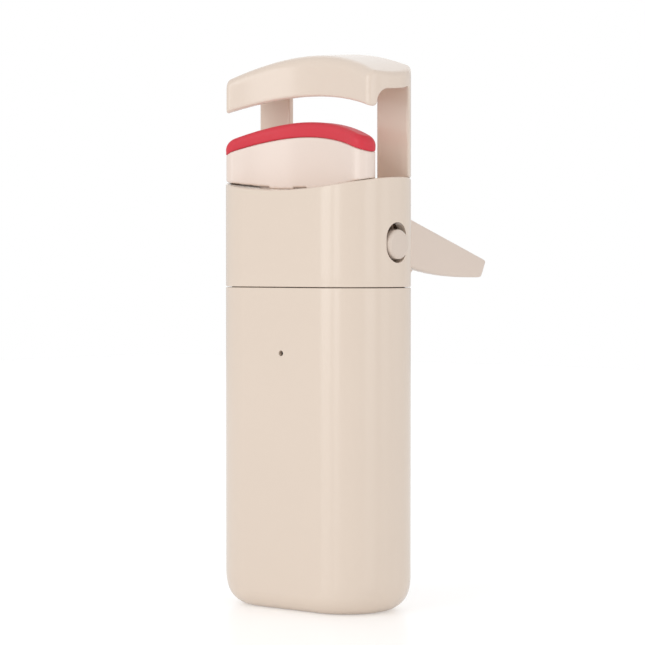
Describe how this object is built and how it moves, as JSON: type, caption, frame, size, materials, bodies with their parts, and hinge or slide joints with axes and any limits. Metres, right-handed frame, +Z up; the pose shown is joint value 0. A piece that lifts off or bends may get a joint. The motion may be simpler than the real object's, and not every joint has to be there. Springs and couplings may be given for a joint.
{
  "type": "heated eyelash curler",
  "caption": "Upright heated eyelash curler: rounded handle, thumb lever at the back, and a silicone-padded carriage that rises against a fixed arched clamp frame.",
  "frame": {"origin": "centre of the flat foot, on the surface it stands on", "axes": "+Z up along the handle, -Y the front with the concave jaws, +Y the thumb lever, X across the width"},
  "size_m": [0.036, 0.047, 0.0948],
  "materials": {
    "shell": "satin gloss, warm beige",
    "frame": "satin gloss, warm beige",
    "lever": "satin gloss, warm beige",
    "cap": "satin gloss, warm beige",
    "carriage": "satin gloss, pale beige",
    "pad": "satin silicone, coral red",
    "gasket": "matt",
    "collar": "matt nylon",
    "steel": "bright turned",
    "screw": "plated",
    "spring": "drawn wire",
    "heater_plate": "mill finish",
    "heating_element": "matt",
    "sensor": "epoxy bead",
    "battery": "shrink film over an aluminium can",
    "board": "solder mask",
    "socket": "plated",
    "switch": "matt",
    "button": "satin gloss, warm beige",
    "led": "clear epoxy",
    "light_pipe": "smoked acrylic"
  },
  "bodies": {
    "housing": {"handle_sleeve": "shell", "head_shell": "shell", "clamp_frame": "frame", "seam_gasket": "gasket", "joint_collar": "collar", "left_bearing_cheek": "steel", "right_bearing_cheek": "steel", "left_frame_screw": "screw", "right_frame_screw": "screw", "left_sleeve_screw": "screw", "right_sleeve_screw": "screw", "left_guide_post": "steel", "right_guide_post": "steel", "left_return_spring": "spring", "right_return_spring": "spring", "battery_cell": "battery", "circuit_board": "board", "usb_socket": "socket", "power_switch": "switch", "status_led": "led", "light_pipe": "light_pipe"},
    "lever": {"thumb_lever": "lever", "pivot_pin": "steel", "left_pivot_cap": "cap", "right_pivot_cap": "cap"},
    "carriage": {"pad_carriage": "carriage", "silicone_pad": "pad", "heater_plate": "heater_plate", "left_heating_element": "heating_element", "right_heating_element": "heating_element", "temperature_sensor": "sensor"},
    "button": {"power_button": "button"}
  },
  "joints": [
    {"name": "lever_press", "type": "hinge", "parent": "housing", "child": "lever", "pos_m": [0, 0, 0.0619], "axis": [-1, 0, 0], "range_deg": [0, 35.6], "stiffness_Nm_per_rad": 0.03, "springref_deg": -6.88},
    {"name": "carriage_lift", "type": "slide", "parent": "housing", "child": "carriage", "axis": [0, 0, 1], "range_m": [0, 0.00403], "deforming": ["left_return_spring", "right_return_spring"]},
    {"name": "button_press", "type": "slide", "parent": "housing", "child": "button", "axis": [0, -1, 0], "range_m": [0, 0.0006], "stiffness_N_per_m": 500}
  ],
  "couplings": [
    {"joint": "lever_press", "follows": "carriage_lift", "rad_per_m": 153.9}
  ]
}
